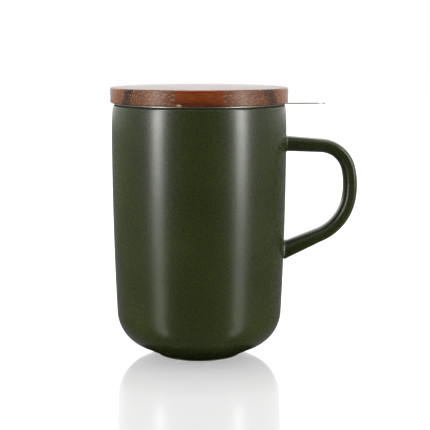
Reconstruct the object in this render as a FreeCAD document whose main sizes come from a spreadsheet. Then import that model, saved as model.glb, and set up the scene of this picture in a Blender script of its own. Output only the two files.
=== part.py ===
"""A lidded tea mug: stoneware body and handle, steel infuser basket, edge-glued wooden lid.

All lengths are in millimetres. +Z is up, +X points to the handle, and the origin is on the
mug's axis in the plane that its foot stands on.
"""

import FreeCAD, Part
import Sketcher
import os
from math import atan2, pi, sqrt

doc = FreeCAD.newDocument("tea_mug")
sizes = doc.addObject("Spreadsheet::Sheet", "Sizes")
places = doc.addObject("Spreadsheet::Sheet", "Places")
made = {}


def size(alias, value):
    """One driving dimension, in the next free row of the sheet Sizes."""
    row = size.row
    size.row += 1
    sizes.set(f"A{row}", alias.replace("_", " "))
    sizes.set(f"B{row}", str(value))
    sizes.setAlias(f"B{row}", alias)


def place(alias, formula):
    """One worked-out length, in the next free row of the sheet Places."""
    row = place.row
    place.row += 1
    places.set(f"A{row}", alias.replace("_", " "))
    places.set(f"B{row}", "=" + formula)
    places.setAlias(f"B{row}", alias)


size.row = 1
place.row = 1


def cell(alias):
    """The name by which a formula reads a cell of either sheet."""
    sheet = sizes if sizes.getCellFromAlias(alias) else places
    return f"{sheet.Name}.{alias}"


def value(alias):
    """The number in a cell of either sheet."""
    sheet = sizes if sizes.getCellFromAlias(alias) else places
    return float(sheet.get(alias))


def body(name):
    return doc.addObject("PartDesign::Body", name)


def sketch_on(owner, role, name):
    """An empty sketch on one of the body's own origin planes."""
    plane = next(f for f in owner.Origin.OriginFeatures if f.Role == role)
    sketch = owner.newObject("Sketcher::SketchObject", name)
    sketch.AttachmentSupport = [(plane, "")]
    sketch.MapMode = "FlatFace"
    return sketch


def arc_between(start, end, radius, turn):
    """The arc from start to end that curves left (turn 1) or right (turn -1)."""
    chord = end - start
    half = chord.Length / 2
    side = FreeCAD.Vector(-chord.y, chord.x, 0).normalize() * turn
    centre = (start + end) / 2 + side * sqrt(radius * radius - half * half)
    first, last = (start, end) if turn > 0 else (end, start)
    angles = [atan2(p.y - centre.y, p.x - centre.x) for p in (first, last)]
    if angles[1] < angles[0]:
        angles[1] += 2 * pi
    circle = Part.Circle(centre, FreeCAD.Vector(0, 0, 1), radius)
    return Part.ArcOfCircle(circle, angles[0], angles[1])


def draw(sketch, corners, arcs=None):
    """A closed outline through corners, each a pair of cell names, held to those cells.

    arcs maps the number of a side to (radius cell, turn); the other sides are straight.
    """
    arcs = arcs or {}
    points = [FreeCAD.Vector(value(x), value(y), 0) for x, y in corners]
    first = sketch.GeometryCount
    ends = []
    for number, start in enumerate(points):
        end = points[(number + 1) % len(points)]
        if number in arcs:
            radius, turn = arcs[number]
            side = sketch.addGeometry(arc_between(start, end, value(radius), turn), False)
            ends.append((1, 2) if turn > 0 else (2, 1))
            hold(sketch, Sketcher.Constraint("Radius", side, value(radius)), cell(radius))
        else:
            sketch.addGeometry(Part.LineSegment(start, end), False)
            ends.append((1, 2))
    count = len(points)
    for number in range(count):
        after = (number + 1) % count
        sketch.addConstraint(Sketcher.Constraint(
            "Coincident", first + number, ends[number][1], first + after, ends[after][0]))
    for number, (x, y) in enumerate(corners):
        at = (first + number, ends[number][0])
        hold(sketch, Sketcher.Constraint("DistanceX", -1, 1, *at, points[number].x), cell(x))
        hold(sketch, Sketcher.Constraint("DistanceY", -1, 1, *at, points[number].y), cell(y))


def hold(sketch, constraint, formula):
    number = sketch.addConstraint(constraint)
    sketch.setExpression(f"Constraints[{number}]", formula)


def revolve(owner, sketch, name):
    """A full turn of the sketch about the body's own Z axis."""
    feature = owner.newObject("PartDesign::Revolution", name)
    feature.Profile = sketch
    feature.ReferenceAxis = (axis_of(owner, "Z_Axis"), [""])
    feature.Angle = 360
    return feature


def axis_of(owner, role):
    return next(f for f in owner.Origin.OriginFeatures if f.Role == role)


def pad(owner, sketch, name, formula, midplane=False):
    feature = owner.newObject("PartDesign::Pad", name)
    feature.Profile = sketch
    feature.SideType = "Symmetric" if midplane else "One side"
    feature.setExpression("Length", formula)
    return feature


def cut_through(owner, sketch, name, formula, backwards=False):
    feature = owner.newObject("PartDesign::Pocket", name)
    feature.Profile = sketch
    feature.Reversed = backwards
    feature.setExpression("Length", formula)
    return feature


def repeat_round(owner, feature, name, formula):
    """Copies of a cut spaced evenly about the body's Z axis."""
    pattern = owner.newObject("PartDesign::PolarPattern", name)
    pattern.Originals = [feature]
    pattern.Axis = (axis_of(owner, "Z_Axis"), [""])
    pattern.Angle = 360
    pattern.setExpression("Occurrences", formula)
    owner.Tip = pattern


def edges_where(shape, test):
    """The names of the edges that pass the test."""
    return [f"Edge{n}" for n, edge in enumerate(shape.Edges, 1) if test(edge)]


def dress(owner, kind, name, base, test, formula):
    """A Fillet or Chamfer on the edges of base that pass the test."""
    doc.recompute()
    edges = edges_where(base.Shape, test)
    feature = owner.newObject(f"PartDesign::{kind}", name)
    feature.Base = (base, edges)
    feature.setExpression("Radius" if kind == "Fillet" else "Size", formula)
    return feature


def ring_at(radius, height):
    """A test for round edges about the Z axis at this radius and height."""
    def test(edge):
        box = edge.BoundBox
        flat = box.ZLength < 0.001 and abs(box.ZMax - height) < 0.01
        return flat and abs(box.XMax - radius) < 0.01 and abs(box.XMin + radius) < 0.01
    return test


def boolean(kind, name, base, tool):
    feature = doc.addObject(f"Part::{kind}", name)
    feature.Base = base
    feature.Tool = tool
    return feature


# The sizes that someone would change, piece by piece.
driving = {
    # Mug body.
    "mug_height": 122.8,
    "belly_radius": 42.5,
    "belly_below_rim": 13.8,
    "wall_bow": 1873,
    "rim_bow": 155,
    "corner_round": 18.5,
    "underside_slope": 25,
    "foot_radius": 20.6,
    "foot_height": 0.6,
    "foot_ring_width": 3.6,
    "foot_recess": 1.2,
    "wall": 4.2,
    "floor_thickness": 4.6,
    "lip_round": 1.3,
    # Handle.
    "handle_below_rim": 19.0,
    "handle_tilt": 3.3,
    "handle_arm": 17.2,
    "top_bend": 14.5,
    "top_turn": 74.3,
    "grip_bend": 37.6,
    "grip_turn": 22.2,
    "low_bend": 24.1,
    "low_turn": 56.2,
    "handle_thickness": 6.75,
    "handle_width": 11.5,
    "top_root_taper": 1.4,
    "low_root_taper": 2.3,
    "handle_edge_round": 2.4,
    # Infuser rim.
    "sheet": 0.6,
    "seat_gap": 0.1,
    "flange_inset": 1.4,
    "collar_gap": 1.2,
    "collar_depth": 11,
    "collar_bend": 1.2,
    "tab_length": 20.1,
    "tab_neck": 12.4,
    "tab_paddle": 15.4,
    "tab_neck_length": 6,
    "tab_paddle_length": 12,
    "tab_root_round": 4,
    "tab_tip_round": 4.5,
    # Infuser wall.
    "wall_sheet": 0.5,
    "basket_depth": 75,
    "wall_lap": 4,
    "slot_columns": 30,
    "slot_rows": 3,
    "slot_width": 1.6,
    "slot_bridge": 3.6,
    "slot_margin": 3.5,
    # Base band.
    "band_height": 6,
    "band_ledge": 3,
    # Infuser floor.
    "floor_slots": 9,
    "floor_slot_width": 1.6,
    "floor_hub": 5,
    "floor_bridge": 3,
    # Lid.
    "lid_overhang": 0.6,
    "lid_thickness": 7.5,
    "lid_top_round": 1.0,
    "lid_low_bevel": 0.45,
    "plug_gap": 1.1,
    "plug_depth": 6,
    "groove_depth": 1.8,
    "groove_height": 2.4,
    "groove_below_lid": 1.8,
    "front_strip": 1.4,
    "back_strip": 14.8,
    "middle_staves": 2,
    # Seal ring.
    "seal_gap": 0.3,
    "lip_thickness": 0.5,
}
for alias, number in driving.items():
    size(alias, number)
doc.recompute()

# The lengths that follow from them, piece by piece.
# Mug body.
place("belly_height", "Sizes.mug_height - Sizes.belly_below_rim")
place("slope_cos", "cos(Sizes.underside_slope)")
place("slope_sin", "sin(Sizes.underside_slope)")
place("bow_x", "Sizes.belly_radius - Sizes.wall_bow")
place("rim_centre_x", "Sizes.belly_radius - Sizes.rim_bow")
place("from_bow_x", "Sizes.foot_radius - Sizes.corner_round * slope_sin - bow_x")
place("from_bow_z", "Sizes.foot_height + Sizes.corner_round * slope_cos - belly_height")
place("along", "from_bow_x * slope_cos + from_bow_z * slope_sin")
place("inner_bow", "Sizes.wall_bow - Sizes.corner_round")
place("slope_run", "sqrt(along^2 - from_bow_x^2 - from_bow_z^2 + inner_bow^2) - along")
place("slope_end_x", "Sizes.foot_radius + slope_run * slope_cos")
place("slope_end_z", "Sizes.foot_height + slope_run * slope_sin")
place("corner_x", "slope_end_x - Sizes.corner_round * slope_sin")
place("corner_z", "slope_end_z + Sizes.corner_round * slope_cos")
place("wall_share", "Sizes.wall_bow / inner_bow")
place("wall_foot_x", "bow_x + (corner_x - bow_x) * wall_share")
place("wall_foot_z", "belly_height + (corner_z - belly_height) * wall_share")
place("rim_x", "rim_centre_x + sqrt(Sizes.rim_bow^2 - Sizes.belly_below_rim^2)")
place("inner_rim_bow", "Sizes.rim_bow - Sizes.wall")
place("inner_rim_x", "rim_centre_x + sqrt(inner_rim_bow^2 - Sizes.belly_below_rim^2)")
place("inner_belly_x", "Sizes.belly_radius - Sizes.wall")
place("inner_wall_bow", "Sizes.wall_bow - Sizes.wall")
place("inner_corner", "Sizes.corner_round - Sizes.wall")
place("inner_wall_foot_x", "bow_x + (corner_x - bow_x) * inner_wall_bow / inner_bow")
place("inner_wall_foot_z",
      "belly_height + (corner_z - belly_height) * inner_wall_bow / inner_bow")
place("inner_slope_end_x", "slope_end_x - Sizes.wall * slope_sin")
place("inner_slope_end_z", "slope_end_z + Sizes.wall * slope_cos")
place("floor_top", "Sizes.foot_recess + Sizes.floor_thickness")
place("floor_edge_x",
      "inner_slope_end_x - (inner_slope_end_z - floor_top) * slope_cos / slope_sin")
place("foot_inside", "Sizes.foot_radius - Sizes.foot_ring_width")
place("axis_x", "0")
place("table", "0")
# Handle.
place("handle_half", "Sizes.handle_thickness / 2")
place("root_x", "Sizes.belly_radius - Sizes.wall / 2")
place("arm_z", "Sizes.mug_height - Sizes.handle_below_rim")
place("arm_end_x", "Sizes.belly_radius + Sizes.handle_arm * cos(Sizes.handle_tilt)")
place("arm_end_z", "arm_z - Sizes.handle_arm * sin(Sizes.handle_tilt)")
place("top_centre_x", "arm_end_x - Sizes.top_bend * sin(Sizes.handle_tilt)")
place("top_centre_z", "arm_end_z - Sizes.top_bend * cos(Sizes.handle_tilt)")
place("grip_start", "Sizes.handle_tilt + Sizes.top_turn")
place("grip_end", "grip_start + Sizes.grip_turn")
place("low_end", "grip_end + Sizes.low_turn")
place("grip_centre_x", "top_centre_x + (Sizes.top_bend - Sizes.grip_bend) * sin(grip_start)")
place("grip_centre_z", "top_centre_z + (Sizes.top_bend - Sizes.grip_bend) * cos(grip_start)")
place("low_centre_x", "grip_centre_x + (Sizes.grip_bend - Sizes.low_bend) * sin(grip_end)")
place("low_centre_z", "grip_centre_z + (Sizes.grip_bend - Sizes.low_bend) * cos(grip_end)")
for side, sign in (("outer", "+"), ("inner", "-")):
    other = "-" if sign == "+" else "+"
    place(f"{side}_top_bend", f"Sizes.top_bend {sign} handle_half")
    place(f"{side}_grip_bend", f"Sizes.grip_bend {sign} handle_half")
    place(f"{side}_low_bend", f"Sizes.low_bend {sign} handle_half")
    place(f"{side}_arm_dip", f"Sizes.handle_tilt {sign} Sizes.top_root_taper")
    place(f"{side}_low_dip", f"low_end {other} Sizes.low_root_taper")
    joints = (
        ("arm", "top_centre", "top_bend", f"{side}_arm_dip"),
        ("grip_top", "top_centre", "top_bend", "grip_start"),
        ("grip_low", "grip_centre", "grip_bend", "grip_end"),
        ("low", "low_centre", "low_bend", f"{side}_low_dip"),
    )
    for joint, centre, bend, dip in joints:
        place(f"{side}_{joint}_x", f"{centre}_x + {side}_{bend} * sin({dip})")
        place(f"{side}_{joint}_z", f"{centre}_z + {side}_{bend} * cos({dip})")
    place(f"{side}_top_root_z",
          f"{side}_arm_z + ({side}_arm_x - root_x) * tan({side}_arm_dip)")
    place(f"{side}_low_root_z",
          f"{side}_low_z + ({side}_low_x - root_x) * tan({side}_low_dip)")
# Infuser rim.
place("flange_under", "Sizes.mug_height + Sizes.seat_gap")
place("flange_top", "flange_under + Sizes.sheet")
place("flange_radius", "Sizes.belly_radius - Sizes.flange_inset")
place("collar_outer", "inner_rim_x - Sizes.collar_gap")
place("collar_inner", "collar_outer - Sizes.sheet")
place("collar_low", "flange_top - Sizes.collar_depth")
place("bend_outer", "Sizes.collar_bend + Sizes.sheet")
place("bend_flat_x", "collar_outer + Sizes.collar_bend")
place("bend_under_z", "flange_under - Sizes.collar_bend")
place("tab_root_x", "flange_radius - Sizes.flange_inset")
place("tab_neck_x", "flange_radius + Sizes.tab_neck_length")
place("tab_tip_x", "flange_radius + Sizes.tab_length")
place("tab_wide_x", "tab_tip_x - Sizes.tab_paddle_length / 2")
place("tab_neck_y", "Sizes.tab_neck / 2")
place("tab_neck_back_y", "-Sizes.tab_neck / 2")
place("tab_wide_y", "Sizes.tab_paddle / 2")
place("tab_wide_back_y", "-Sizes.tab_paddle / 2")
# Infuser wall.
place("basket_low", "flange_top - Sizes.basket_depth")
place("wall_outer", "collar_inner")
place("wall_inner", "wall_outer - Sizes.wall_sheet")
place("wall_low", "basket_low + Sizes.sheet")
place("wall_top", "collar_low + Sizes.wall_lap")
place("band_top", "basket_low + Sizes.band_height")
place("slot_room", "collar_low - band_top - 2 * Sizes.slot_margin")
place("slot_pitch", "(slot_room + Sizes.slot_bridge) / Sizes.slot_rows")
place("slot_half", "Sizes.slot_width / 2")
place("slot_half_back", "-Sizes.slot_width / 2")
for row in range(int(value("slot_rows"))):
    place(f"slot_low_{row}", f"band_top + Sizes.slot_margin + {row} * slot_pitch")
    place(f"slot_high_{row}", f"slot_low_{row} + slot_pitch - Sizes.slot_bridge")
# Base band.
place("band_outer", "wall_outer + Sizes.sheet")
place("ledge_inner", "wall_inner - Sizes.band_ledge")
# Infuser floor.
place("disc_top", "wall_low + Sizes.wall_sheet")
place("floor_slot_half", "Sizes.floor_slot_width / 2")
place("floor_slot_half_back", "-Sizes.floor_slot_width / 2")
place("floor_slot_length", "(ledge_inner - Sizes.floor_hub - 2 * Sizes.floor_bridge) / 2")
place("inner_slot_start", "Sizes.floor_hub")
place("inner_slot_end", "inner_slot_start + floor_slot_length")
place("outer_slot_start", "inner_slot_end + Sizes.floor_bridge")
place("outer_slot_end", "outer_slot_start + floor_slot_length")
# Lid.
place("lid_radius", "Sizes.belly_radius + Sizes.lid_overhang")
place("lid_under", "flange_top + Sizes.seat_gap")
place("lid_top", "lid_under + Sizes.lid_thickness")
place("plug_radius", "collar_inner - Sizes.wall_sheet - Sizes.plug_gap")
place("plug_low", "lid_under - Sizes.plug_depth")
place("groove_radius", "plug_radius - Sizes.groove_depth")
place("groove_top", "lid_under - Sizes.groove_below_lid")
place("groove_low", "groove_top - Sizes.groove_height")
place("stave_width", "(2 * lid_radius - Sizes.front_strip - Sizes.back_strip) / Sizes.middle_staves")
# Seal ring.
place("lip_tip", "collar_inner - Sizes.seal_gap")
place("lip_root", "plug_radius")
place("upper_lip_low", "groove_top - Sizes.lip_thickness")
place("lower_lip_top", "groove_low + Sizes.lip_thickness")
doc.recompute()

# Mug body: the wall is one long bowed arc that is widest near the top, turns in to the rim,
# and rounds at the bottom to a sloping underside with a small foot ring.
mug = body("mug_body")
mug_profile = sketch_on(mug, "XZ_Plane", "mug_profile")
draw(
    mug_profile,
    [
        ("axis_x", "foot_recess"),
        ("foot_inside", "foot_recess"),
        ("foot_inside", "table"),
        ("foot_radius", "table"),
        ("foot_radius", "foot_height"),
        ("slope_end_x", "slope_end_z"),
        ("wall_foot_x", "wall_foot_z"),
        ("belly_radius", "belly_height"),
        ("rim_x", "mug_height"),
        ("inner_rim_x", "mug_height"),
        ("inner_belly_x", "belly_height"),
        ("inner_wall_foot_x", "inner_wall_foot_z"),
        ("inner_slope_end_x", "inner_slope_end_z"),
        ("floor_edge_x", "floor_top"),
        ("axis_x", "floor_top"),
    ],
    {
        5: ("corner_round", 1),
        6: ("wall_bow", 1),
        7: ("rim_bow", 1),
        9: ("inner_rim_bow", -1),
        10: ("inner_wall_bow", -1),
        11: ("inner_corner", -1),
    },
)
mug_turned = revolve(mug, mug_profile, "mug_turned")
doc.recompute()
rim_edges = [ring_at(value(x), value("mug_height")) for x in ("rim_x", "inner_rim_x")]
dress(mug, "Fillet", "lip", mug_turned, lambda e: any(t(e) for t in rim_edges),
      "min(Sizes.lip_round; 0.45 * Sizes.wall)")
made["mug_body"] = mug

# Handle: a strap that leaves the wall almost level, turns down in one tight and two wide
# bends and comes back to the wall at a slope. It thickens towards both roots.
strap = body("handle_strap")
strap_profile = sketch_on(strap, "XZ_Plane", "strap_profile")
draw(
    strap_profile,
    [
        ("root_x", "outer_top_root_z"),
        ("outer_arm_x", "outer_arm_z"),
        ("outer_grip_top_x", "outer_grip_top_z"),
        ("outer_grip_low_x", "outer_grip_low_z"),
        ("outer_low_x", "outer_low_z"),
        ("root_x", "outer_low_root_z"),
        ("root_x", "inner_low_root_z"),
        ("inner_low_x", "inner_low_z"),
        ("inner_grip_low_x", "inner_grip_low_z"),
        ("inner_grip_top_x", "inner_grip_top_z"),
        ("inner_arm_x", "inner_arm_z"),
        ("root_x", "inner_top_root_z"),
    ],
    {
        1: ("outer_top_bend", -1),
        2: ("outer_grip_bend", -1),
        3: ("outer_low_bend", -1),
        7: ("inner_low_bend", 1),
        8: ("inner_grip_bend", 1),
        9: ("inner_top_bend", 1),
    },
)
strap_pad = pad(strap, strap_profile, "strap_pad", "Sizes.handle_width", midplane=True)
doc.recompute()
half_width = value("handle_width") / 2


def long_edge(edge):
    """An edge of the strap's two flat sides that doesn't lie in the wall."""
    box = edge.BoundBox
    flat = box.YLength < 0.001 and abs(abs(box.YMax) - half_width) < 0.001
    return flat and box.XMax > value("root_x") + 0.01


dress(strap, "Fillet", "strap_edges", strap_pad, long_edge,
      "min(Sizes.handle_edge_round; 0.45 * Sizes.handle_thickness; 0.45 * Sizes.handle_width)")
handle = boolean("Cut", "mug_handle", strap, mug)
made["mug_handle"] = handle

# Infuser rim: one pressed steel piece, with a flat flange that lies on the mug's rim, a
# collar that drops inside it, and a finger tab that reaches out over the handle.
rim = body("infuser_rim")
rim_profile = sketch_on(rim, "XZ_Plane", "rim_profile")
draw(
    rim_profile,
    [
        ("collar_inner", "collar_low"),
        ("collar_outer", "collar_low"),
        ("collar_outer", "bend_under_z"),
        ("bend_flat_x", "flange_under"),
        ("flange_radius", "flange_under"),
        ("flange_radius", "flange_top"),
        ("bend_flat_x", "flange_top"),
        ("collar_inner", "bend_under_z"),
    ],
    {2: ("collar_bend", -1), 6: ("bend_outer", 1)},
)
revolve(rim, rim_profile, "rim_pressed")

tab_outline = sketch_on(rim, "XY_Plane", "tab_outline")
tab_outline.setExpression("AttachmentOffset.Base.z", "Places.flange_under")
draw(
    tab_outline,
    [
        ("tab_root_x", "tab_neck_back_y"),
        ("tab_neck_x", "tab_neck_back_y"),
        ("tab_wide_x", "tab_wide_back_y"),
        ("tab_tip_x", "tab_wide_back_y"),
        ("tab_tip_x", "tab_wide_y"),
        ("tab_wide_x", "tab_wide_y"),
        ("tab_neck_x", "tab_neck_y"),
        ("tab_root_x", "tab_neck_y"),
    ],
)
tab_pad = pad(rim, tab_outline, "tab", "Sizes.sheet")
doc.recompute()


def upright_at(far, near):
    """A test for short upright edges between two distances along X."""
    def test(edge):
        box = edge.BoundBox
        upright = box.XLength < 0.001 and box.YLength < 0.001
        return upright and near <= box.XMax <= far and box.ZMin > value("flange_under") - 0.1
    return test


tip = dress(rim, "Fillet", "tab_tip", tab_pad,
            upright_at(value("tab_tip_x") + 0.1, value("tab_tip_x") - 0.1),
            "min(Sizes.tab_tip_round; 0.4 * Sizes.tab_paddle)")
dress(rim, "Fillet", "tab_root", tip,
      upright_at(value("flange_radius") + 0.1, value("tab_root_x") + 0.1),
      "min(Sizes.tab_root_round; 0.6 * Sizes.tab_neck_length)")
made["infuser_rim"] = rim

# Infuser wall: perforated sheet rolled to a tube and spot-welded inside the collar.
wall = body("infuser_wall")
wall_profile = sketch_on(wall, "XZ_Plane", "wall_profile")
draw(
    wall_profile,
    [
        ("wall_inner", "wall_low"),
        ("wall_outer", "wall_low"),
        ("wall_outer", "wall_top"),
        ("wall_inner", "wall_top"),
    ],
)
revolve(wall, wall_profile, "wall_rolled")
slots = sketch_on(wall, "YZ_Plane", "slots")
for row in range(int(value("slot_rows"))):
    draw(
        slots,
        [
            ("slot_half_back", f"slot_low_{row}"),
            ("slot_half", f"slot_low_{row}"),
            ("slot_half", f"slot_high_{row}"),
            ("slot_half_back", f"slot_high_{row}"),
        ],
    )
punched = cut_through(wall, slots, "punched", "Places.wall_outer + Sizes.wall_sheet", True)
repeat_round(wall, punched, "punched_round", "Sizes.slot_columns")
made["infuser_wall"] = wall

# Base band: a spun steel band round the wall's lower edge, turned in under the floor.
band = body("infuser_base_band")
band_profile = sketch_on(band, "XZ_Plane", "band_profile")
draw(
    band_profile,
    [
        ("ledge_inner", "basket_low"),
        ("band_outer", "basket_low"),
        ("band_outer", "band_top"),
        ("wall_outer", "band_top"),
        ("wall_outer", "wall_low"),
        ("ledge_inner", "wall_low"),
    ],
)
revolve(band, band_profile, "band_spun")
made["infuser_base_band"] = band

# Infuser floor: a perforated disc that lies on the band's ledge, inside the wall.
basket_floor = body("infuser_floor")
disc_profile = sketch_on(basket_floor, "XZ_Plane", "disc_profile")
draw(
    disc_profile,
    [
        ("axis_x", "wall_low"),
        ("wall_inner", "wall_low"),
        ("wall_inner", "disc_top"),
        ("axis_x", "disc_top"),
    ],
)
revolve(basket_floor, disc_profile, "disc")
rings = []
for ring in ("inner", "outer"):
    opening = sketch_on(basket_floor, "XY_Plane", f"{ring}_slot")
    opening.setExpression("AttachmentOffset.Base.z", "Places.disc_top")
    draw(
        opening,
        [
            (f"{ring}_slot_start", "floor_slot_half_back"),
            (f"{ring}_slot_end", "floor_slot_half_back"),
            (f"{ring}_slot_end", "floor_slot_half"),
            (f"{ring}_slot_start", "floor_slot_half"),
        ],
    )
    rings.append(cut_through(basket_floor, opening, f"{ring}_cut", "2 * Sizes.wall_sheet"))
repeat_round(basket_floor, rings[0], "inner_round", "Sizes.floor_slots")
repeat_round(basket_floor, rings[1], "outer_round", "2 * Sizes.floor_slots")
made["infuser_floor"] = basket_floor

# Lid: staves glued edge to edge with the grain along X, then turned as one disc with a plug
# that drops into the collar and a groove round the plug for the seal.
blank = body("lid_blank")
blank_profile = sketch_on(blank, "XZ_Plane", "blank_profile")
draw(
    blank_profile,
    [
        ("axis_x", "plug_low"),
        ("plug_radius", "plug_low"),
        ("plug_radius", "groove_low"),
        ("groove_radius", "groove_low"),
        ("groove_radius", "groove_top"),
        ("plug_radius", "groove_top"),
        ("plug_radius", "lid_under"),
        ("lid_radius", "lid_under"),
        ("lid_radius", "lid_top"),
        ("axis_x", "lid_top"),
    ],
)
lid_turned = revolve(blank, blank_profile, "lid_turned")
doc.recompute()
lid_bevel = dress(blank, "Chamfer", "lid_bevel", lid_turned,
                  ring_at(value("lid_radius"), value("lid_under")), "Sizes.lid_low_bevel")
dress(blank, "Fillet", "lid_round", lid_bevel,
      ring_at(value("lid_radius"), value("lid_top")), "Sizes.lid_top_round")

widths = ["Sizes.front_strip", "Sizes.back_strip"]
widths[1:1] = ["Places.stave_width"] * int(value("middle_staves"))
start = "-Places.lid_radius"
for number, width in enumerate(widths, 1):
    board = doc.addObject("Part::Box", f"board_{number}")
    board.setExpression("Length", "2 * Places.lid_radius")
    board.setExpression("Width", width)
    board.setExpression("Height", "Places.lid_top - Places.plug_low")
    board.setExpression("Placement.Base.x", "-Places.lid_radius")
    board.setExpression("Placement.Base.y", start)
    board.setExpression("Placement.Base.z", "Places.plug_low")
    made[f"lid_stave_{number}"] = boolean("Common", f"lid_stave_{number}", blank, board)
    start += f" + {width}"

# Seal ring: moulded silicone with a flat back that fills the groove and two soft lips.
seal = body("lid_seal_ring")
seal_profile = sketch_on(seal, "XZ_Plane", "seal_profile")
draw(
    seal_profile,
    [
        ("groove_radius", "groove_low"),
        ("lip_tip", "groove_low"),
        ("lip_tip", "lower_lip_top"),
        ("lip_root", "lower_lip_top"),
        ("lip_root", "upper_lip_low"),
        ("lip_tip", "upper_lip_low"),
        ("lip_tip", "groove_top"),
        ("groove_radius", "groove_top"),
    ],
)
revolve(seal, seal_profile, "seal_moulded")
made["lid_seal_ring"] = seal

doc.recompute()
for thing in doc.Objects:
    if "Invalid" in thing.State or "Error" in thing.State:
        raise RuntimeError(f"{thing.Name} is {thing.State}")
for node, thing in made.items():
    if thing.Shape.isNull() or not thing.Shape.isValid():
        raise RuntimeError(f"{node} has no valid shape")
    thing.Label = node

os.makedirs("parts", exist_ok=True)
for node, thing in made.items():
    thing.Shape.exportStep(f"parts/{node}.step")
    print(node, len(thing.Shape.Solids), round(thing.Shape.Volume, 1))
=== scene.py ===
import math
import bmesh
import bpy
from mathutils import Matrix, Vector


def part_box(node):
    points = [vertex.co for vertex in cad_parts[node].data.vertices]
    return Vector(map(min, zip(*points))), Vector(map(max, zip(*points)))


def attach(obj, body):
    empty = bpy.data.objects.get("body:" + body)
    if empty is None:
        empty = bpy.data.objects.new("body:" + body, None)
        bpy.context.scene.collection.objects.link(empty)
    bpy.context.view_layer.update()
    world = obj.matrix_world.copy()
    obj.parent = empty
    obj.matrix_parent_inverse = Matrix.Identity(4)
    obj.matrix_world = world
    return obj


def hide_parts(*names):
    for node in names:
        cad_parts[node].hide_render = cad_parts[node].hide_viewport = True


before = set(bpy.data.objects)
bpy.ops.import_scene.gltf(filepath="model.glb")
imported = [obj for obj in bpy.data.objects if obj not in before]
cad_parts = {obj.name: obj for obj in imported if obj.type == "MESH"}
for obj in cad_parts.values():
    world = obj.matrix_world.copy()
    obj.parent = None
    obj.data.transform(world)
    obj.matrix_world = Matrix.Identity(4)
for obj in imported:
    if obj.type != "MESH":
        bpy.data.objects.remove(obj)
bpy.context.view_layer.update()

# Mug body: stoneware jiggered to one long bowed wall, widest near the top and drawn in to a
# rounded lip, with a soft bottom corner and a small foot ring. Matte dark green glaze all
# over, inside and out; the ring it stands on is bare, but here it takes the glaze too.
MM = 0.001
MUG_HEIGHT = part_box("mug_body")[1][2]
BELLY_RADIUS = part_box("mug_body")[1][1]
BELLY_Z = MUG_HEIGHT - 13.8 * MM
WALL_BOW = 1873 * MM
RIM_BOW = 155 * MM
CORNER_ROUND = 18.5 * MM
UNDERSIDE_SLOPE = math.radians(25)
FOOT_RADIUS = 20.6 * MM
FOOT_HEIGHT = 0.6 * MM
FOOT_RING_WIDTH = 3.6 * MM
FOOT_RECESS = 1.2 * MM
FOOT_EDGE = 0.25 * MM
FLOOR_FILLET = 3 * MM
WALL = 4.2 * MM
FLOOR_THICKNESS = 4.6 * MM
LIP_ROUND = 1.3 * MM
TURN_STEPS = 192
SHARP_ANGLE = math.radians(32)


def srgb(hex_colour):
    """A linear colour from an sRGB hex value."""
    parts = [int(hex_colour[i:i + 2], 16) / 255 for i in (1, 3, 5)]
    linear = [c / 12.92 if c <= 0.04045 else ((c + 0.055) / 1.055) ** 2.4 for c in parts]
    return (*linear, 1.0)


def arc(centre, radius, start, end, steps):
    """Points on an arc in the half-section plane, between two angles in radians."""
    angles = [start + (end - start) * i / steps for i in range(steps + 1)]
    return [(centre[0] + radius * math.cos(a), centre[1] + radius * math.sin(a)) for a in angles]


def piece_from(bm, name, body, slot, material, *nodes):
    """A finished mesh object that rides on a body and stands for CAD nodes."""
    bmesh.ops.remove_doubles(bm, verts=bm.verts, dist=1e-7)
    bmesh.ops.recalc_face_normals(bm, faces=bm.faces)
    mesh = bpy.data.meshes.new(name)
    bm.to_mesh(mesh)
    bm.free()
    for polygon in mesh.polygons:
        polygon.use_smooth = True
    mesh.set_sharp_from_angle(angle=SHARP_ANGLE)
    piece = bpy.data.objects.new(name, mesh)
    bpy.context.scene.collection.objects.link(piece)
    mesh.materials.append(material)
    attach(piece, body)
    if nodes:
        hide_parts(*nodes)


def spin_profile(bm, points, steps=TURN_STEPS, closed=False):
    """A full turn of a half-section about Z."""
    verts = [bm.verts.new((x, 0, z)) for x, z in points]
    edges = [bm.edges.new(pair) for pair in zip(verts, verts[1:])]
    if closed:
        edges.append(bm.edges.new((verts[-1], verts[0])))
    bmesh.ops.spin(bm, geom=verts + edges, cent=(0, 0, 0), axis=(0, 0, 1),
                   angle=2 * math.pi, steps=steps, use_merge=True)
    bmesh.ops.remove_doubles(bm, verts=bm.verts, dist=1e-7)


def node(tree, kind, inputs=(), **settings):
    """A node with its settings; each input takes a socket to link or a plain value."""
    new = tree.nodes.new(kind)
    for name, setting in settings.items():
        setattr(new, name, setting)
    for own, other in inputs:
        if isinstance(other, bpy.types.NodeSocket):
            tree.links.new(other, new.inputs[own])
        else:
            new.inputs[own].default_value = other
    return new


def set_stops(colour_ramp, stops):
    """Sets a colour ramp's (position, hex colour) stops."""
    elements = colour_ramp.elements
    while len(elements) < len(stops):
        elements.new(0.5)
    for element, (position, colour) in zip(elements, stops):
        element.position = position
        element.color = srgb(colour)


def wall_radius(z, offset=0.0):
    """The outer radius of the body's straight part at a height, less an offset."""
    bow = WALL_BOW if z < BELLY_Z else RIM_BOW
    drop = z - BELLY_Z
    return BELLY_RADIUS - bow + math.sqrt(bow * bow - drop * drop) - offset


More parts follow.
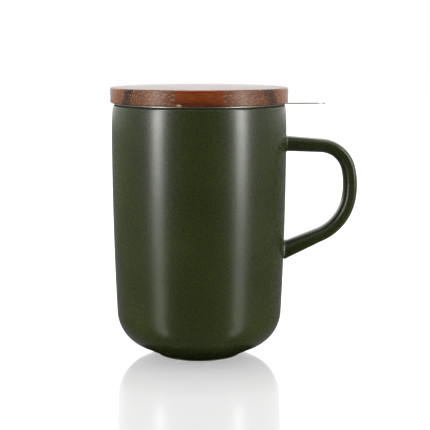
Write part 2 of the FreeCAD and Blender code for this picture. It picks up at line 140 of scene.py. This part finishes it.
def mug_half_section():
    """The body's outline from the axis under the foot, up the outside and down the inside."""
    slope = (math.cos(UNDERSIDE_SLOPE), math.sin(UNDERSIDE_SLOPE))
    # The bottom corner's centre runs out along the underside until its round meets the bow.
    bow_x = BELLY_RADIUS - WALL_BOW
    start = (FOOT_RADIUS - CORNER_ROUND * slope[1] - bow_x,
             FOOT_HEIGHT + CORNER_ROUND * slope[0] - BELLY_Z)
    along = start[0] * slope[0] + start[1] * slope[1]
    reach = WALL_BOW - CORNER_ROUND
    run = math.sqrt(along ** 2 - start[0] ** 2 - start[1] ** 2 + reach ** 2) - along
    corner = (start[0] + bow_x + run * slope[0], start[1] + BELLY_Z + run * slope[1])
    tilt = math.atan2(corner[1] - BELLY_Z, corner[0] - bow_x)
    low = UNDERSIDE_SLOPE - math.pi / 2
    outside = [(0, FOOT_RECESS), (FOOT_RADIUS - FOOT_RING_WIDTH, FOOT_RECESS)]
    ring_in = FOOT_RADIUS - FOOT_RING_WIDTH
    outside += [(ring_in, FOOT_EDGE), (ring_in + FOOT_EDGE, 0)]
    outside += [(FOOT_RADIUS - FOOT_EDGE, 0), (FOOT_RADIUS, FOOT_EDGE)]
    # The foot meets the underside in a hollow a tenth of a millimetre deep.
    outside += [(FOOT_RADIUS, FOOT_HEIGHT - 0.1 * MM),
                (FOOT_RADIUS + 0.15 * MM, FOOT_HEIGHT + 0.07 * MM)]
    outside += arc(corner, CORNER_ROUND, low, tilt, 26)
    top_z = MUG_HEIGHT - LIP_ROUND
    outside += [(wall_radius(z), z) for z in
                [outside[-1][1] + (top_z - outside[-1][1]) * i / 40 for i in range(1, 41)]]
    lip_out = (wall_radius(top_z) - LIP_ROUND, top_z)
    lip_in = (wall_radius(top_z, WALL) + LIP_ROUND, top_z)
    lip = arc(lip_out, LIP_ROUND, 0, math.pi / 2, 8)[1:]
    lip += arc(lip_in, LIP_ROUND, math.pi / 2, math.pi, 8)
    inner_round = CORNER_ROUND - WALL
    inner = arc(corner, inner_round, tilt, low, 22)
    inside = [(wall_radius(z, WALL), z) for z in
              [top_z + (inner[0][1] - top_z) * i / 30 for i in range(1, 30)]]
    floor_z = FOOT_RECESS + FLOOR_THICKNESS
    floor_x = inner[-1][0] - (inner[-1][1] - floor_z) * slope[0] / slope[1]
    bottom = [(floor_x + FLOOR_FILLET * slope[0], floor_z + FLOOR_FILLET * slope[1]),
              (floor_x + 0.25 * FLOOR_FILLET, floor_z + 0.1 * FLOOR_FILLET),
              (floor_x - FLOOR_FILLET, floor_z), (0, floor_z)]
    return outside + lip + inside + inner + bottom


def stoneware_glaze():
    """Matte magnesia glaze on stoneware: IOR 1.5, an eggshell surface that spreads the
    strip lights into soft bands, with fine pits that break the highlights into specks."""
    material = bpy.data.materials.new("matte_green_glaze")
    material.use_nodes = True
    tree = material.node_tree
    shader = tree.nodes["Principled BSDF"]
    at = node(tree, "ShaderNodeTexCoord").outputs["Object"]
    # 0.5 mm specks, drawn about twice as coarse as the real pits so that they show.
    specks = node(tree, "ShaderNodeTexNoise", [("Vector", at), ("Scale", 1900.0), ("Detail", 2.0)])
    # Slow clouding of the glaze's thickness, about 30 mm across.
    clouds = node(tree, "ShaderNodeTexNoise", [("Vector", at), ("Scale", 34.0), ("Detail", 2.0)])
    greens = node(tree, "ShaderNodeValToRGB", [(0, clouds.outputs[0])])
    set_stops(greens.color_ramp, [(0.3, "#242B07"), (0.7, "#2A320B")])
    rough = node(tree, "ShaderNodeMapRange", [(0, specks.outputs[0]), (1, 0.35), (2, 0.65),
                                              (3, 0.25), (4, 0.32)])
    bump = node(tree, "ShaderNodeBump", [("Height", specks.outputs[0]), ("Strength", 0.1),
                                         ("Distance", 0.00006)])
    tree.links.new(greens.outputs[0], shader.inputs["Base Color"])
    tree.links.new(rough.outputs[0], shader.inputs["Roughness"])
    tree.links.new(bump.outputs[0], shader.inputs["Normal"])
    shader.inputs["IOR"].default_value = 1.5
    return material


GLAZE = stoneware_glaze()
mug_mesh = bmesh.new()
spin_profile(mug_mesh, mug_half_section())
piece_from(mug_mesh, "mug_body_glazed", "mug", "glazed_stoneware", GLAZE, "mug_body")

# Handle: a pulled strap of the same stoneware, fuller on the inside of the bend and flatter
# outside, luted to the wall at both ends with a small roll of clay round each joint.
HANDLE_Z = MUG_HEIGHT - 19.0 * MM
HANDLE_TILT = math.radians(3.3)
HANDLE_ARM = 17.2 * MM
HANDLE_BENDS = ((14.5 * MM, math.radians(74.3)), (37.6 * MM, math.radians(22.2)),
                (24.1 * MM, math.radians(56.2)))
HANDLE_THICKNESS = 6.75 * MM
HANDLE_WIDTH = 11.5 * MM
TOP_ROOT_TAPER = math.tan(math.radians(1.4))
LOW_ROOT_TAPER = math.tan(math.radians(2.3))
ROOT_ROLL = 0.9 * MM
# The strap's crest, as a share of its half thickness, and how full each face of it is: a power
# of 1 gives an ellipse, a smaller one a squarer section.
CREST = 0.36
OUTER_FACE, INNER_FACE, STRAP_EDGE = 0.8, 0.72, 0.8


def handle_path():
    """Points (x, z, heading, half thickness) down the strap's middle line."""
    x, z, heading = BELLY_RADIUS, HANDLE_Z, -HANDLE_TILT
    half = HANDLE_THICKNESS / 2
    # Close together near the wall, where the roll of clay flares.
    near = [s * MM for s in (-1.6, -0.9, -0.5, -0.2, 0.1, 0.4, 0.7, 1.0, 1.4, 2.0, 3.5, 6, 9, 12)]
    path = [(x + s * math.cos(heading), z + s * math.sin(heading), heading,
             half + (HANDLE_ARM - s) * TOP_ROOT_TAPER) for s in near]
    x += HANDLE_ARM * math.cos(heading)
    z += HANDLE_ARM * math.sin(heading)
    for radius, turn in HANDLE_BENDS:
        centre = (x + radius * math.sin(heading), z - radius * math.cos(heading))
        steps = max(8, round(turn / math.radians(3)))
        for i in range(steps):
            h = heading - turn * i / steps
            path.append((centre[0] - radius * math.sin(h), centre[1] + radius * math.cos(h),
                         h, half))
        heading -= turn
        x, z = centre[0] - radius * math.sin(heading), centre[1] + radius * math.cos(heading)
    # The lower arm runs straight to the wall.
    wall_z = z + (BELLY_RADIUS - x) * math.tan(heading)
    length = (wall_radius(wall_z) - x) / math.cos(heading)
    for s in [0] + [length - back for back in reversed(near) if back < length - MM]:
        path.append((x + s * math.cos(heading), z + s * math.sin(heading), heading,
                     half + s * LOW_ROOT_TAPER))
    return path


def strap_section(half, width, steps=44):
    """A strap's cross-section: full inside the bend, with its crest nearer the outside."""
    section = []
    crest = CREST * half
    for i in range(steps):
        a = 2 * math.pi * i / steps
        across, out = math.cos(a), math.sin(a)
        power = OUTER_FACE if out > 0 else INNER_FACE
        depth = (half - crest) if out > 0 else (half + crest)
        section.append((crest + depth * math.copysign(abs(out) ** power, out),
                        width / 2 * math.copysign(abs(across) ** STRAP_EDGE, across)))
    return section


def flare(point, middle):
    """A point of the strap, moved out from its middle where the roll of clay meets the wall."""
    clear = math.hypot(point.x, point.y) - wall_radius(point.z)
    rise = min(max(ROOT_ROLL - clear, 0), ROOT_ROLL)
    out = point - middle
    return point + out.normalized() * (ROOT_ROLL - math.sqrt(ROOT_ROLL ** 2 - rise ** 2))


def handle_mesh():
    """The strap's cross-sections set along its path and bridged, with both ends closed."""
    bm = bmesh.new()
    rings = []
    for x, z, heading, half in handle_path():
        up = Vector((-math.sin(heading), 0, math.cos(heading)))
        middle = Vector((x, 0, z))
        ring = [bm.verts.new(flare(middle + up * out + Vector((0, side, 0)), middle))
                for out, side in strap_section(half, HANDLE_WIDTH)]
        rings.append([bm.edges.new((ring[i - 1], ring[i])) for i in range(len(ring))])
    for before, after in zip(rings, rings[1:]):
        bmesh.ops.bridge_loops(bm, edges=before + after)
    bmesh.ops.holes_fill(bm, edges=bm.edges, sides=0)
    return bm


piece_from(handle_mesh(), "mug_handle_glazed", "mug", "glazed_stoneware", GLAZE, "mug_handle")

# Infuser rim: stainless sheet pressed to a flat flange and a short collar, with the finger tab
# left on the flange. The flange lies on the mug's lip, and its tab points over the handle.
SHEET = 0.6 * MM
SHEET_EDGE = 0.2 * MM
FLANGE_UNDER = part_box("infuser_rim")[1][2] - SHEET
FLANGE_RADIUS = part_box("infuser_rim")[1][1]
COLLAR_OUTER = 36.55 * MM
COLLAR_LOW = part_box("infuser_rim")[0][2]
COLLAR_BEND = 1.2 * MM
TAB_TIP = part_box("infuser_rim")[1][0]
TAB_NECK = 12.4 * MM
TAB_PADDLE = 15.4 * MM
TAB_NECK_LENGTH = 6 * MM
TAB_PADDLE_LENGTH = 12 * MM
TAB_TIP_ROUND = 4.5 * MM
# Where the tab's sides flare into the flange, and how far under its edge the tab starts.
TAB_FLARE = 1.6 * MM
TAB_FLARE_LENGTH = 2.1 * MM
TAB_OVERLAP = 0.05 * MM
TAB_RISE = 0.55 * MM
TAB_DROOP = 0.25 * MM


def brushed_steel():
    """Stainless steel with a fine satin brushing: it mirrors the room in a soft smear."""
    material = bpy.data.materials.new("brushed_stainless_steel")
    material.use_nodes = True
    tree = material.node_tree
    shader = tree.nodes["Principled BSDF"]
    at = node(tree, "ShaderNodeTexCoord").outputs["Object"]
    # Brush lines 0.3 mm apart along X, drawn coarser than real ones so that they show.
    across = node(tree, "ShaderNodeVectorMath", [
        (0, at), (1, (60.0, 3200.0, 900.0))], operation="MULTIPLY")
    lines = node(tree, "ShaderNodeTexNoise", [
        ("Vector", across.outputs[0]), ("Scale", 1.0), ("Detail", 2.0)])
    rough = node(tree, "ShaderNodeMapRange", [
        (0, lines.outputs[0]), (1, 0.3), (2, 0.7), (3, 0.36), (4, 0.48)])
    tree.links.new(rough.outputs[0], shader.inputs["Roughness"])
    shader.inputs["Base Color"].default_value = srgb("#B9B7B3")
    shader.inputs["Metallic"].default_value = 1.0
    return material


STEEL = brushed_steel()


def rim_half_section():
    """The bent sheet of the collar and flange, with its edges rounded."""
    inner = COLLAR_OUTER - SHEET
    centre = (COLLAR_OUTER + COLLAR_BEND, FLANGE_UNDER - COLLAR_BEND)
    top = FLANGE_UNDER + SHEET
    section = [(inner, COLLAR_LOW + SHEET_EDGE), (inner + SHEET_EDGE, COLLAR_LOW)]
    section += [(COLLAR_OUTER - SHEET_EDGE, COLLAR_LOW), (COLLAR_OUTER, COLLAR_LOW + SHEET_EDGE)]
    section += arc(centre, COLLAR_BEND, math.pi, math.pi / 2, 8)
    edge_x = FLANGE_RADIUS - SHEET_EDGE
    section += arc((edge_x, FLANGE_UNDER + SHEET_EDGE), SHEET_EDGE, -math.pi / 2, 0, 3)
    section += arc((edge_x, top - SHEET_EDGE), SHEET_EDGE, 0, math.pi / 2, 3)
    section += arc(centre, COLLAR_BEND + SHEET, math.pi / 2, math.pi, 10)
    return section


rim_mesh = bmesh.new()
spin_profile(rim_mesh, rim_half_section(), closed=True)
piece_from(rim_mesh, "infuser_rim_pressed", "infuser", "stainless_steel", STEEL, "infuser_rim")


def tab_outline():
    """Half of the tab's outline seen from above, from the flange to the middle of its tip."""
    neck, wide = TAB_NECK / 2, TAB_PADDLE / 2
    foot = FLANGE_RADIUS - TAB_OVERLAP
    root_x = math.sqrt(FLANGE_RADIUS ** 2 - (neck + TAB_FLARE) ** 2)
    points = [(math.sqrt(foot ** 2 - y * y), y) for y in (0.0, neck / 2, neck, neck + TAB_FLARE)]
    points += [(root_x + TAB_FLARE_LENGTH * t, neck + TAB_FLARE * (1 - t) ** 2.4)
               for t in (0.25, 0.5, 0.75, 1.0)]
    points += [(FLANGE_RADIUS + TAB_NECK_LENGTH, neck + 0.1 * MM)]
    wide_x = TAB_TIP - TAB_PADDLE_LENGTH / 2
    points += [(wide_x - 1.2 * MM, wide - 0.35 * MM), (wide_x + 0.6 * MM, wide)]
    points += arc((TAB_TIP - TAB_TIP_ROUND, wide - TAB_TIP_ROUND), TAB_TIP_ROUND,
                  math.pi / 2, 0, 10)
    return points + [(TAB_TIP, 0.0)]


def tab_mesh():
    """The tab's outline given the sheet's thickness, its edges rounded, and bent."""
    bm = bmesh.new()
    half = tab_outline()
    outline = half + [(x, -y) for x, y in reversed(half[1:-1])]
    face = bm.faces.new([bm.verts.new((x, y, FLANGE_UNDER)) for x, y in outline])
    raised = bmesh.ops.extrude_face_region(bm, geom=[face])["geom"]
    top = [v for v in raised if isinstance(v, bmesh.types.BMVert)]
    bmesh.ops.translate(bm, verts=top, vec=(0, 0, SHEET))
    # It is cut across every millimetre, so that it can rise a little and flatten out.
    for step in range(math.ceil((TAB_TIP - FLANGE_RADIUS) / MM) - 1):
        bmesh.ops.bisect_plane(bm, geom=bm.verts[:] + bm.edges[:] + bm.faces[:], dist=1e-8,
                               plane_co=(FLANGE_RADIUS + step * MM, 0, 0), plane_no=(1, 0, 0))
    bm.normal_update()
    rims = [e for e in bm.edges if abs(e.verts[0].co.z - e.verts[1].co.z) < 1e-9
            and len(e.link_faces) == 2 and e.calc_face_angle() > 1.2]
    bmesh.ops.bevel(bm, geom=rims, offset=SHEET_EDGE, affect="EDGES", segments=3, profile=0.5,
                    material=-1)
    for vert in bm.verts:
        past = max(0.0, vert.co.x - FLANGE_RADIUS) / (TAB_TIP - FLANGE_RADIUS)
        vert.co.z += TAB_RISE * math.sin(math.pi / 2 * past) - TAB_DROOP * past ** 2
    return bm


piece_from(tab_mesh(), "infuser_tab_pressed", "infuser", "stainless_steel", STEEL)

# Infuser basket: slotted sheet rolled to a tube and welded inside the collar, a spun band round
# its lower edge and a slotted disc on the band's ledge. All are left as the CAD has them.
for name in ("infuser_wall", "infuser_base_band", "infuser_floor"):
    basket_part = bpy.data.objects[name]
    basket_part.data.materials.clear()
    basket_part.data.materials.append(STEEL)

# Lid: staves of acacia glued edge to edge, their grain along X, turned as one disc with a plug
# under it and oiled. A thin strip of the front stave shows as the long-grained patch in front.
LID_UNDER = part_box("lid_stave_1")[0][2]
LID_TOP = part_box("lid_stave_2")[1][2]
LID_RADIUS = -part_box("lid_stave_1")[0][1]
LID_TOP_ROUND = 1.0 * MM
LID_LOW_BEVEL = 0.45 * MM
PLUG_RADIUS = 34.35 * MM
PLUG_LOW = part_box("lid_stave_2")[0][2]
PLUG_BEVEL = 0.4 * MM
GROOVE_DEPTH = 1.8 * MM
GROOVE_TOP = LID_UNDER - 1.8 * MM
GROOVE_LOW = GROOVE_TOP - 2.4 * MM
GLUE_LINES = [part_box(f"lid_stave_{number}")[1][1] for number in (1, 2, 3)]


def lid_half_section():
    """The turned disc and its plug, from the axis below to the axis on top."""
    groove_bottom = PLUG_RADIUS - GROOVE_DEPTH
    section = [(0, PLUG_LOW), (PLUG_RADIUS - PLUG_BEVEL, PLUG_LOW)]
    section += [(PLUG_RADIUS, PLUG_LOW + PLUG_BEVEL), (PLUG_RADIUS, GROOVE_LOW)]
    section += [(groove_bottom, GROOVE_LOW), (groove_bottom, GROOVE_TOP)]
    section += [(PLUG_RADIUS, GROOVE_TOP), (PLUG_RADIUS, LID_UNDER)]
    section += [(LID_RADIUS - LID_LOW_BEVEL, LID_UNDER), (LID_RADIUS, LID_UNDER + LID_LOW_BEVEL)]
    section += arc((LID_RADIUS - LID_TOP_ROUND, LID_TOP - LID_TOP_ROUND), LID_TOP_ROUND,
                   0, math.pi / 2, 7)
    return section + [(0, LID_TOP)]


def acacia(name, pith, ring, phase, stops, fleck, streak="#3A1C0C"):
    """Oiled acacia: IOR 1.5 and a satin surface, its sheen turned down because the oil has
    dried into the wood. Growth rings run about the pith line, which lies along X at (y, z);
    pores are long streaks along the grain and dots across it."""
    material = bpy.data.materials.new(name)
    material.use_nodes = True
    tree = material.node_tree
    shader = tree.nodes["Principled BSDF"]
    at = node(tree, "ShaderNodeTexCoord").outputs["Object"]
    # The rings wander by some millimetres over about 110 mm of grain.
    slow = node(tree, "ShaderNodeVectorMath", [
        (0, at), (1, (9.0, 42.0, 42.0))], operation="MULTIPLY")
    wander = node(tree, "ShaderNodeTexNoise", [
        ("Vector", slow.outputs[0]), ("Scale", 1.0), ("Detail", 3.0)])
    centred = node(tree, "ShaderNodeVectorMath", [(0, at), (1, (0.0, *pith))], operation="SUBTRACT")
    flat = node(tree, "ShaderNodeVectorMath", [(0, centred.outputs[0]), (1, (0.02, 1.0, 1.0))],
                operation="MULTIPLY")
    reach = node(tree, "ShaderNodeVectorMath", [
        (0, flat.outputs[0])], operation="LENGTH").outputs["Value"]
    swing = node(tree, "ShaderNodeMath", [
        (0, wander.outputs[0]), (1, 6.0 * MM)], operation="MULTIPLY")
    radius = node(tree, "ShaderNodeMath", [(0, reach), (1, swing.outputs[0])], operation="ADD")
    turns = node(tree, "ShaderNodeMath", [(0, radius.outputs[0]), (1, 1 / ring), (2, phase)],
                 operation="MULTIPLY_ADD")
    band = node(tree, "ShaderNodeMath", [(0, turns.outputs[0]), (1, 1.0)], operation="PINGPONG")
    tone = node(tree, "ShaderNodeValToRGB", [(0, band.outputs[0])])
    set_stops(tone.color_ramp, stops)
    # Fine growth lines 1 mm apart inside each band.
    line = node(tree, "ShaderNodeMath", [(0, radius.outputs[0]), (1, 2 * math.pi / (1.1 * MM))],
                operation="MULTIPLY")
    wave = node(tree, "ShaderNodeMath", [(0, line.outputs[0])], operation="SINE")
    lined = node(tree, "ShaderNodeMix", [(0, node(tree, "ShaderNodeMapRange", [
        (0, wave.outputs[0]), (1, -0.2), (2, 1.0), (3, 0.0), (4, 0.22)]).outputs[0]),
        (6, tone.outputs[0]), (7, srgb(streak))], data_type="RGBA")
    # Pores 0.6 mm across and some 7 mm long, drawn coarser than real ones so that they show:
    # half of them are filled and paler, half open and dark.
    fine = node(tree, "ShaderNodeVectorMath", [
        (0, at), (1, (150.0, 1700.0, 1700.0))], operation="MULTIPLY")
    pores = node(tree, "ShaderNodeTexNoise", [
        ("Vector", fine.outputs[0]), ("Scale", 1.0), ("Detail", 2.0)])
    dots = node(tree, "ShaderNodeMapRange", [
        (0, pores.outputs[0]), (1, 0.54), (2, 0.66), (3, 0.0), (4, 0.6)])
    filled = node(tree, "ShaderNodeMapRange", [
        (0, pores.outputs[0]), (1, 0.46), (2, 0.36), (3, 0.0), (4, fleck)])
    pale = node(tree, "ShaderNodeMix", [
        (0, filled.outputs[0]), (6, lined.outputs[2]), (7, srgb("#94704F"))],
        data_type="RGBA")
    pored = node(tree, "ShaderNodeMix", [
        (0, dots.outputs[0]), (6, pale.outputs[2]), (7, srgb(streak))],
        data_type="RGBA")
    bump = node(tree, "ShaderNodeBump", [
        ("Height", dots.outputs[0]), ("Strength", 0.3), ("Distance", 0.00006)],
        invert=True)
    tree.links.new(pored.outputs[2], shader.inputs["Base Color"])
    tree.links.new(bump.outputs[0], shader.inputs["Normal"])
    shader.inputs["Roughness"].default_value = 0.33
    shader.inputs["Specular IOR Level"].default_value = 0.2
    shader.inputs["IOR"].default_value = 1.5
    return material


def stave_mesh(low, high):
    """The part of the turned lid between two glue planes."""
    bm = bmesh.new()
    spin_profile(bm, lid_half_section(), steps=240)
    bmesh.ops.recalc_face_normals(bm, faces=bm.faces)
    for place, side in ((low, -1), (high, 1)):
        if place is None:
            continue
        cut = bmesh.ops.bisect_plane(bm, geom=bm.verts[:] + bm.edges[:] + bm.faces[:], dist=1e-8,
                                     plane_co=(0, place, 0), plane_no=(0, side, 0),
                                     clear_outer=True)
        rim = [e for e in cut["geom_cut"] if isinstance(e, bmesh.types.BMEdge)]
        bmesh.ops.edgeloop_fill(bm, edges=rim)
    return bm


STAVE_WOODS = (
    acacia("acacia_front_strip", (-30 * MM, 160 * MM), 4.2 * MM, 0.3,
           [(0.0, "#481804"), (0.4, "#662A05"), (1.0, "#74360A")], 0.08, "#3A1404"),
    acacia("acacia_front_stave", (30 * MM, 152 * MM), 9.5 * MM, -0.87,
           [(0.0, "#241008"), (0.2, "#30140A"), (0.28, "#562B12"), (1.0, "#6A3D1D")], 0.5),
    acacia("acacia_back_stave", (50 * MM, 60 * MM), 9.0 * MM, 0.1,
           [(0.0, "#30150A"), (0.4, "#522B12"), (1.0, "#6E4426")], 0.3),
    acacia("acacia_back_strip", (10 * MM, 90 * MM), 10.0 * MM, 0.4,
           [(0.0, "#3A1A0C"), (0.5, "#5E3519"), (1.0, "#764C2C")], 0.3),
)
# A cream fleck of sapwood, 3 mm wide, on the lower edge of the front strip.
SAPWOOD_PLACE = (-9.2 * MM, -42.1 * MM, 123.0 * MM)
strip_tree = STAVE_WOODS[0].node_tree
strip_shader = strip_tree.nodes["Principled BSDF"]
strip_wood = strip_shader.inputs["Base Color"].links[0].from_socket
strip_at = node(strip_tree, "ShaderNodeTexCoord").outputs["Object"]
sap_reach = node(strip_tree, "ShaderNodeVectorMath", [(0, strip_at), (1, SAPWOOD_PLACE)],
                 operation="DISTANCE").outputs["Value"]
sap = node(strip_tree, "ShaderNodeMapRange", [
    (0, sap_reach), (1, 1.0 * MM), (2, 1.9 * MM), (3, 0.85), (4, 0.0)])
sapped = node(strip_tree, "ShaderNodeMix", [
    (0, sap.outputs[0]), (6, strip_wood), (7, srgb("#C9A878"))], data_type="RGBA")
strip_tree.links.new(sapped.outputs[2], strip_shader.inputs["Base Color"])
for number, wood in enumerate(STAVE_WOODS, 1):
    low = GLUE_LINES[number - 2] if number > 1 else None
    high = GLUE_LINES[number - 1] if number < 4 else None
    piece_from(stave_mesh(low, high), f"lid_stave_{number}_oiled", "lid", "acacia", wood,
               f"lid_stave_{number}")

# Seal ring: moulded translucent silicone in the plug's groove, left as the CAD has it.
# Light sinks a little way into the silicone, which makes it look milky and soft.
silicone = bpy.data.materials.new("milky_silicone")
silicone.use_nodes = True
silicone_shader = silicone.node_tree.nodes["Principled BSDF"]
silicone_shader.inputs["Base Color"].default_value = srgb("#DAD9D4")
silicone_shader.inputs["Roughness"].default_value = 0.5
silicone_shader.inputs["IOR"].default_value = 1.41
silicone_shader.inputs["Subsurface Weight"].default_value = 0.2
seal_ring = bpy.data.objects["lid_seal_ring"]
seal_ring.data.materials.clear()
seal_ring.data.materials.append(silicone)

# Stage: a pale floor that fades to white, two tall strip lights in front, a light overhead
# and the camera, set where the photograph was taken from.
# The camera's place and lens, fitted to the outlines of the body, lid and handle.
EYE_DISTANCE = 0.620
EYE_HEIGHT = 0.1538
EYE_PITCH = 0.1368
FOCAL_PIXELS = 1273.5
AXIS_PIXEL = 199.1
FRAME_PIXELS = 430
FLOOR_REACH = 3.0
STRIP_DISTANCE = 0.9
STRIP_WIDTH, STRIP_HEIGHT = 0.15, 0.8
STRIP_CENTRE_Z = 0.38


def floor_material():
    """Polished white acrylic: it mirrors the foot and fades away from it."""
    material = bpy.data.materials.new("white_acrylic_floor")
    material.use_nodes = True
    tree = material.node_tree
    shader = tree.nodes["Principled BSDF"]
    shader.inputs["Base Color"].default_value = srgb("#8A8A8A")
    shader.inputs["Roughness"].default_value = 0.6
    shader.inputs["Specular IOR Level"].default_value = 0.0
    at = node(tree, "ShaderNodeTexCoord").outputs["Object"]
    reach = node(tree, "ShaderNodeVectorMath", [(0, at)], operation="LENGTH").outputs["Value"]
    fade = node(tree, "ShaderNodeMapRange", [
        (0, reach), (1, 0.02), (2, 0.085), (3, 0.45), (4, 0.3)])
    mirror = node(tree, "ShaderNodeBsdfGlossy", [("Color", (1, 1, 1, 1)), ("Roughness", 0.04)])
    path = node(tree, "ShaderNodeLightPath")
    seen = path.outputs["Is Camera Ray"]
    level = node(tree, "ShaderNodeMapRange", [(0, reach), (1, 0.15), (2, 0.9), (3, 0.76), (4, 1.0)])
    glow = node(tree, "ShaderNodeEmission", [
        ("Color", (1, 1, 1, 1)), ("Strength", level.outputs[0])])
    nothing = node(tree, "ShaderNodeEmission", [("Strength", 0.0)])
    lit = node(tree, "ShaderNodeMixShader", [
        (0, seen), (1, nothing.outputs[0]), (2, glow.outputs[0])])
    floor_seen = node(tree, "ShaderNodeAddShader", [(0, shader.outputs[0]), (1, lit.outputs[0])])
    # In the glaze the floor is dark and its mirror weaker, as if the room before it were dark.
    dark = node(tree, "ShaderNodeBsdfDiffuse", [("Color", (0, 0, 0, 1))])
    dimmed = node(tree, "ShaderNodeMath", [
        (0, path.outputs["Is Glossy Ray"]), (1, 0.92)], operation="MULTIPLY")
    base = node(tree, "ShaderNodeMixShader", [
        (0, dimmed.outputs[0]), (1, floor_seen.outputs[0]), (2, dark.outputs[0])])
    kept = node(tree, "ShaderNodeMath", [
        (0, dimmed.outputs[0]), (1, -0.6), (2, 1.0)], operation="MULTIPLY_ADD")
    weight = node(tree, "ShaderNodeMath", [
        (0, fade.outputs[0]), (1, kept.outputs[0])], operation="MULTIPLY")
    shown = node(tree, "ShaderNodeMixShader", [(0, weight.outputs[0]), (1, base.outputs[0]),
                                               (2, mirror.outputs[0])])
    tree.links.new(shown.outputs[0], tree.nodes["Material Output"].inputs["Surface"])
    return material


floor_sheet = bmesh.new()
bmesh.ops.create_grid(floor_sheet, x_segments=1, y_segments=1, size=FLOOR_REACH)
floor_mesh = bpy.data.meshes.new("floor")
floor_sheet.to_mesh(floor_mesh)
floor_sheet.free()
floor_mesh.materials.append(floor_material())
floor = bpy.data.objects.new("floor", floor_mesh)
bpy.context.scene.collection.objects.link(floor)


def strip_light(name, azimuth, power):
    """An upright area light at an azimuth from the camera's side, aimed at the mug's axis."""
    light = bpy.data.lights.new(name, "AREA")
    light.shape = "RECTANGLE"
    light.size, light.size_y = STRIP_WIDTH, STRIP_HEIGHT
    light.energy = power
    lamp = bpy.data.objects.new(name, light)
    angle = math.radians(azimuth)
    lamp.location = (STRIP_DISTANCE * math.sin(angle), -STRIP_DISTANCE * math.cos(angle),
                     STRIP_CENTRE_Z)
    lamp.rotation_euler = (math.radians(90), 0, angle)
    # The strips only draw the highlights; the room's walls give the even light.
    lamp.visible_diffuse = False
    lamp.visible_camera = False
    bpy.context.scene.collection.objects.link(lamp)


strip_light("left_strip", -54, 8.4)
strip_light("right_strip", 55, 8.2)
overhead = bpy.data.lights.new("overhead", "AREA")
overhead.size = 0.9
overhead.energy = 2.5
overhead_lamp = bpy.data.objects.new("overhead", overhead)
overhead_lamp.location = (0, 0.15, 1.1)
bpy.context.scene.collection.objects.link(overhead_lamp)

world = bpy.data.worlds.new("white_room")
bpy.context.scene.world = world
world.use_nodes = True
sky = world.node_tree
sky.nodes.clear()
ray = node(sky, "ShaderNodeLightPath")
direction = node(sky, "ShaderNodeTexCoord").outputs["Generated"]
facing = node(sky, "ShaderNodeSeparateXYZ", [(0, direction)])
# Glossy surfaces mirror a dark front, pale sides and ceiling, and a bright back wall.
beside = node(sky, "ShaderNodeMapRange", [
    (0, facing.outputs["Y"]), (1, -0.6), (2, -0.35), (3, 0.01), (4, 0.46)])
further = node(sky, "ShaderNodeMapRange", [
    (0, facing.outputs["Y"]), (1, 0.1), (2, 0.75), (3, 0.0), (4, 0.9)])
behind = node(sky, "ShaderNodeMapRange", [
    (0, facing.outputs["Y"]), (1, 0.8), (2, 0.95), (3, 0.0), (4, 0.7)])
above = node(sky, "ShaderNodeMapRange", [
    (0, facing.outputs["Z"]), (1, 0.3), (2, 0.6), (3, 0.0), (4, 0.7)])
sides = node(sky, "ShaderNodeMath", [
    (0, beside.outputs[0]), (1, above.outputs[0])], operation="MAXIMUM")
walls = node(sky, "ShaderNodeMath", [
    (0, sides.outputs[0]), (1, further.outputs[0])], operation="ADD")
mirrored = node(sky, "ShaderNodeMath", [
    (0, walls.outputs[0]), (1, behind.outputs[0])], operation="ADD")
# The even light that the diffuse surfaces get comes mostly from the two sides.
sideways = node(sky, "ShaderNodeMath", [(0, facing.outputs["X"]), (1, 4.0)], operation="POWER")
even = node(sky, "ShaderNodeMath", [
    (0, sideways.outputs[0]), (1, 12.0), (2, 0.2)], operation="MULTIPLY_ADD")
spread = node(sky, "ShaderNodeMix", [(0, ray.outputs["Is Diffuse Ray"]), (2, mirrored.outputs[0]),
                                     (3, even.outputs[0])])
strength = node(sky, "ShaderNodeMix", [
    (0, ray.outputs["Is Camera Ray"]), (2, spread.outputs[0]), (3, 1.0)])
backdrop = node(sky, "ShaderNodeBackground", [
    ("Color", (1, 1, 1, 1)), ("Strength", strength.outputs[0])])
node(sky, "ShaderNodeOutputWorld", [("Surface", backdrop.outputs[0])])

camera_data = bpy.data.cameras.new("camera")
camera_data.sensor_width = 36.0
camera_data.lens = FOCAL_PIXELS / FRAME_PIXELS * camera_data.sensor_width
camera_data.shift_x = (FRAME_PIXELS / 2 - AXIS_PIXEL) / FRAME_PIXELS
camera_data.clip_start = 0.01
camera = bpy.data.objects.new("camera", camera_data)
camera.location = (0, -EYE_DISTANCE, EYE_HEIGHT)
camera.rotation_euler = (math.radians(90) - EYE_PITCH, 0, 0)
bpy.context.scene.collection.objects.link(camera)
bpy.context.scene.camera = camera
bpy.context.scene.view_settings.view_transform = "Standard"
